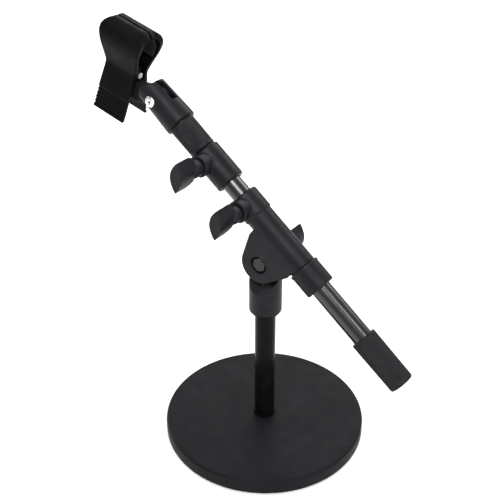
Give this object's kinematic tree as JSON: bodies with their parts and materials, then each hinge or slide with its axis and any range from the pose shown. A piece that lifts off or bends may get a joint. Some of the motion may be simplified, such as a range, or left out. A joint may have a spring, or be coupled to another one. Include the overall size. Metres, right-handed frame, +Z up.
{
  "type": "boom microphone stand",
  "caption": "Short tabletop boom microphone stand: round weighted base, swivelling tilting boom with counterweight and telescoping tube, clamp knobs and a sprung microphone clip.",
  "frame": {"origin": "centre of the round base's underside, on the table", "axes": "+Z up the column; the boom lies in the XZ plane with its counterweight end towards +X and the microphone clip up towards -X; the clamp knobs face -Y"},
  "size_m": [0.2738, 0.16, 0.318],
  "materials": {
    "powder_coat": "satin fine-textured powder coat",
    "gloss_tube": "gloss black coated steel tube",
    "plain_steel": "zinc plated steel",
    "black_steel": "black oxide steel",
    "moulding": "matte moulded black",
    "bearing_plastic": "smooth nylon",
    "weight": "black coated, finely fluted",
    "brass": "turned",
    "rivet_steel": "bright nickel plated steel",
    "soft_rubber": "dull"
  },
  "bodies": {
    "stand": {"base_plate": "powder_coat", "rubber_sole": "soft_rubber", "base_stud": "plain_steel", "base_washer": "plain_steel", "base_nut": "plain_steel", "column_tube": "gloss_tube", "column_foot_plug": "plain_steel", "column_top_stud": "plain_steel"},
    "head": {"head_base": "moulding", "friction_disc": "bearing_plastic", "pivot_washer": "plain_steel"},
    "boom": {"boom_bracket": "moulding", "sleeve_end_ring": "moulding", "sleeve_bush_front": "bearing_plastic", "sleeve_bush_rear": "bearing_plastic", "pivot_bolt": "black_steel", "sleeve_pad": "bearing_plastic"},
    "pivot_wing": {"pivot_knob": "moulding"},
    "sleeve_wing": {"sleeve_knob": "moulding", "sleeve_screw": "plain_steel"},
    "rod": {"boom_rod": "gloss_tube", "rod_end_plug": "plain_steel", "counterweight": "weight", "clutch_body": "moulding", "clutch_bush": "bearing_plastic", "clutch_pad": "bearing_plastic"},
    "clutch_wing": {"clutch_knob": "moulding", "clutch_screw": "plain_steel"},
    "extension": {"inner_tube": "gloss_tube", "inner_tube_stop": "bearing_plastic", "coupling": "moulding", "coupling_stud": "black_steel"},
    "holder": {"holder_clevis": "moulding", "thread_insert": "brass", "rivet": "rivet_steel"},
    "clip": {"clip_frame": "moulding", "jaw_pin": "plain_steel", "jaw_spring": "plain_steel"},
    "front_clip_jaw": {"front_jaw": "moulding", "front_jaw_pad": "soft_rubber"},
    "back_clip_jaw": {"back_jaw": "moulding", "back_jaw_pad": "soft_rubber"}
  },
  "joints": [
    {"name": "swivel_turn", "type": "hinge", "parent": "stand", "child": "head", "pos_m": [0, 0, 0.12], "axis": [0, 0, 1], "continuous": true},
    {"name": "boom_tilt", "type": "hinge", "parent": "head", "child": "boom", "pos_m": [0, 0, 0.1575], "axis": [0, 1, 0], "range_deg": [-55, 5]},
    {"name": "pivot_knob_turn", "type": "hinge", "parent": "boom", "child": "pivot_wing", "pos_m": [0, 0.02, 0.1575], "axis": [0, 1, 0], "range_deg": [-180, 180]},
    {"name": "sleeve_knob_turn", "type": "hinge", "parent": "boom", "child": "sleeve_wing", "pos_m": [-0.01445, -0.017, 0.19917], "axis": [0, -1, 0], "range_deg": [-180, 180]},
    {"name": "boom_slide", "type": "slide", "parent": "boom", "child": "rod", "axis": [0.7891, 0, -0.6143], "range_m": [-0.044, 0.012]},
    {"name": "clutch_knob_turn", "type": "hinge", "parent": "rod", "child": "clutch_wing", "pos_m": [-0.04838, -0.017, 0.22558], "axis": [0, -1, 0], "range_deg": [-180, 180]},
    {"name": "tube_extend", "type": "slide", "parent": "rod", "child": "extension", "axis": [-0.7891, 0, 0.6143], "range_m": [0, 0.08]},
    {"name": "holder_turn", "type": "hinge", "parent": "extension", "child": "holder", "pos_m": [-0.07995, 0, 0.25015], "axis": [0.7891, 0, -0.6143], "continuous": true},
    {"name": "clip_tilt", "type": "hinge", "parent": "holder", "child": "clip", "pos_m": [-0.09573, 0, 0.26244], "axis": [0, 1, 0], "range_deg": [-55, 70]},
    {"name": "front_jaw_open", "type": "hinge", "parent": "clip", "child": "front_clip_jaw", "pos_m": [-0.12702, 0, 0.27921], "axis": [0.9613, 0, -0.2756], "range_deg": [0, 10], "stiffness_Nm_per_rad": 0.8, "springref_deg": -20.05},
    {"name": "back_jaw_open", "type": "hinge", "parent": "clip", "child": "back_clip_jaw", "pos_m": [-0.12702, 0, 0.27921], "axis": [0.9613, 0, -0.2756], "range_deg": [-10, 0], "stiffness_Nm_per_rad": 0.8, "springref_deg": 20.05}
  ],
  "couplings": [
    {"joint": "back_jaw_open", "follows": "front_jaw_open", "ratio": -1}
  ]
}
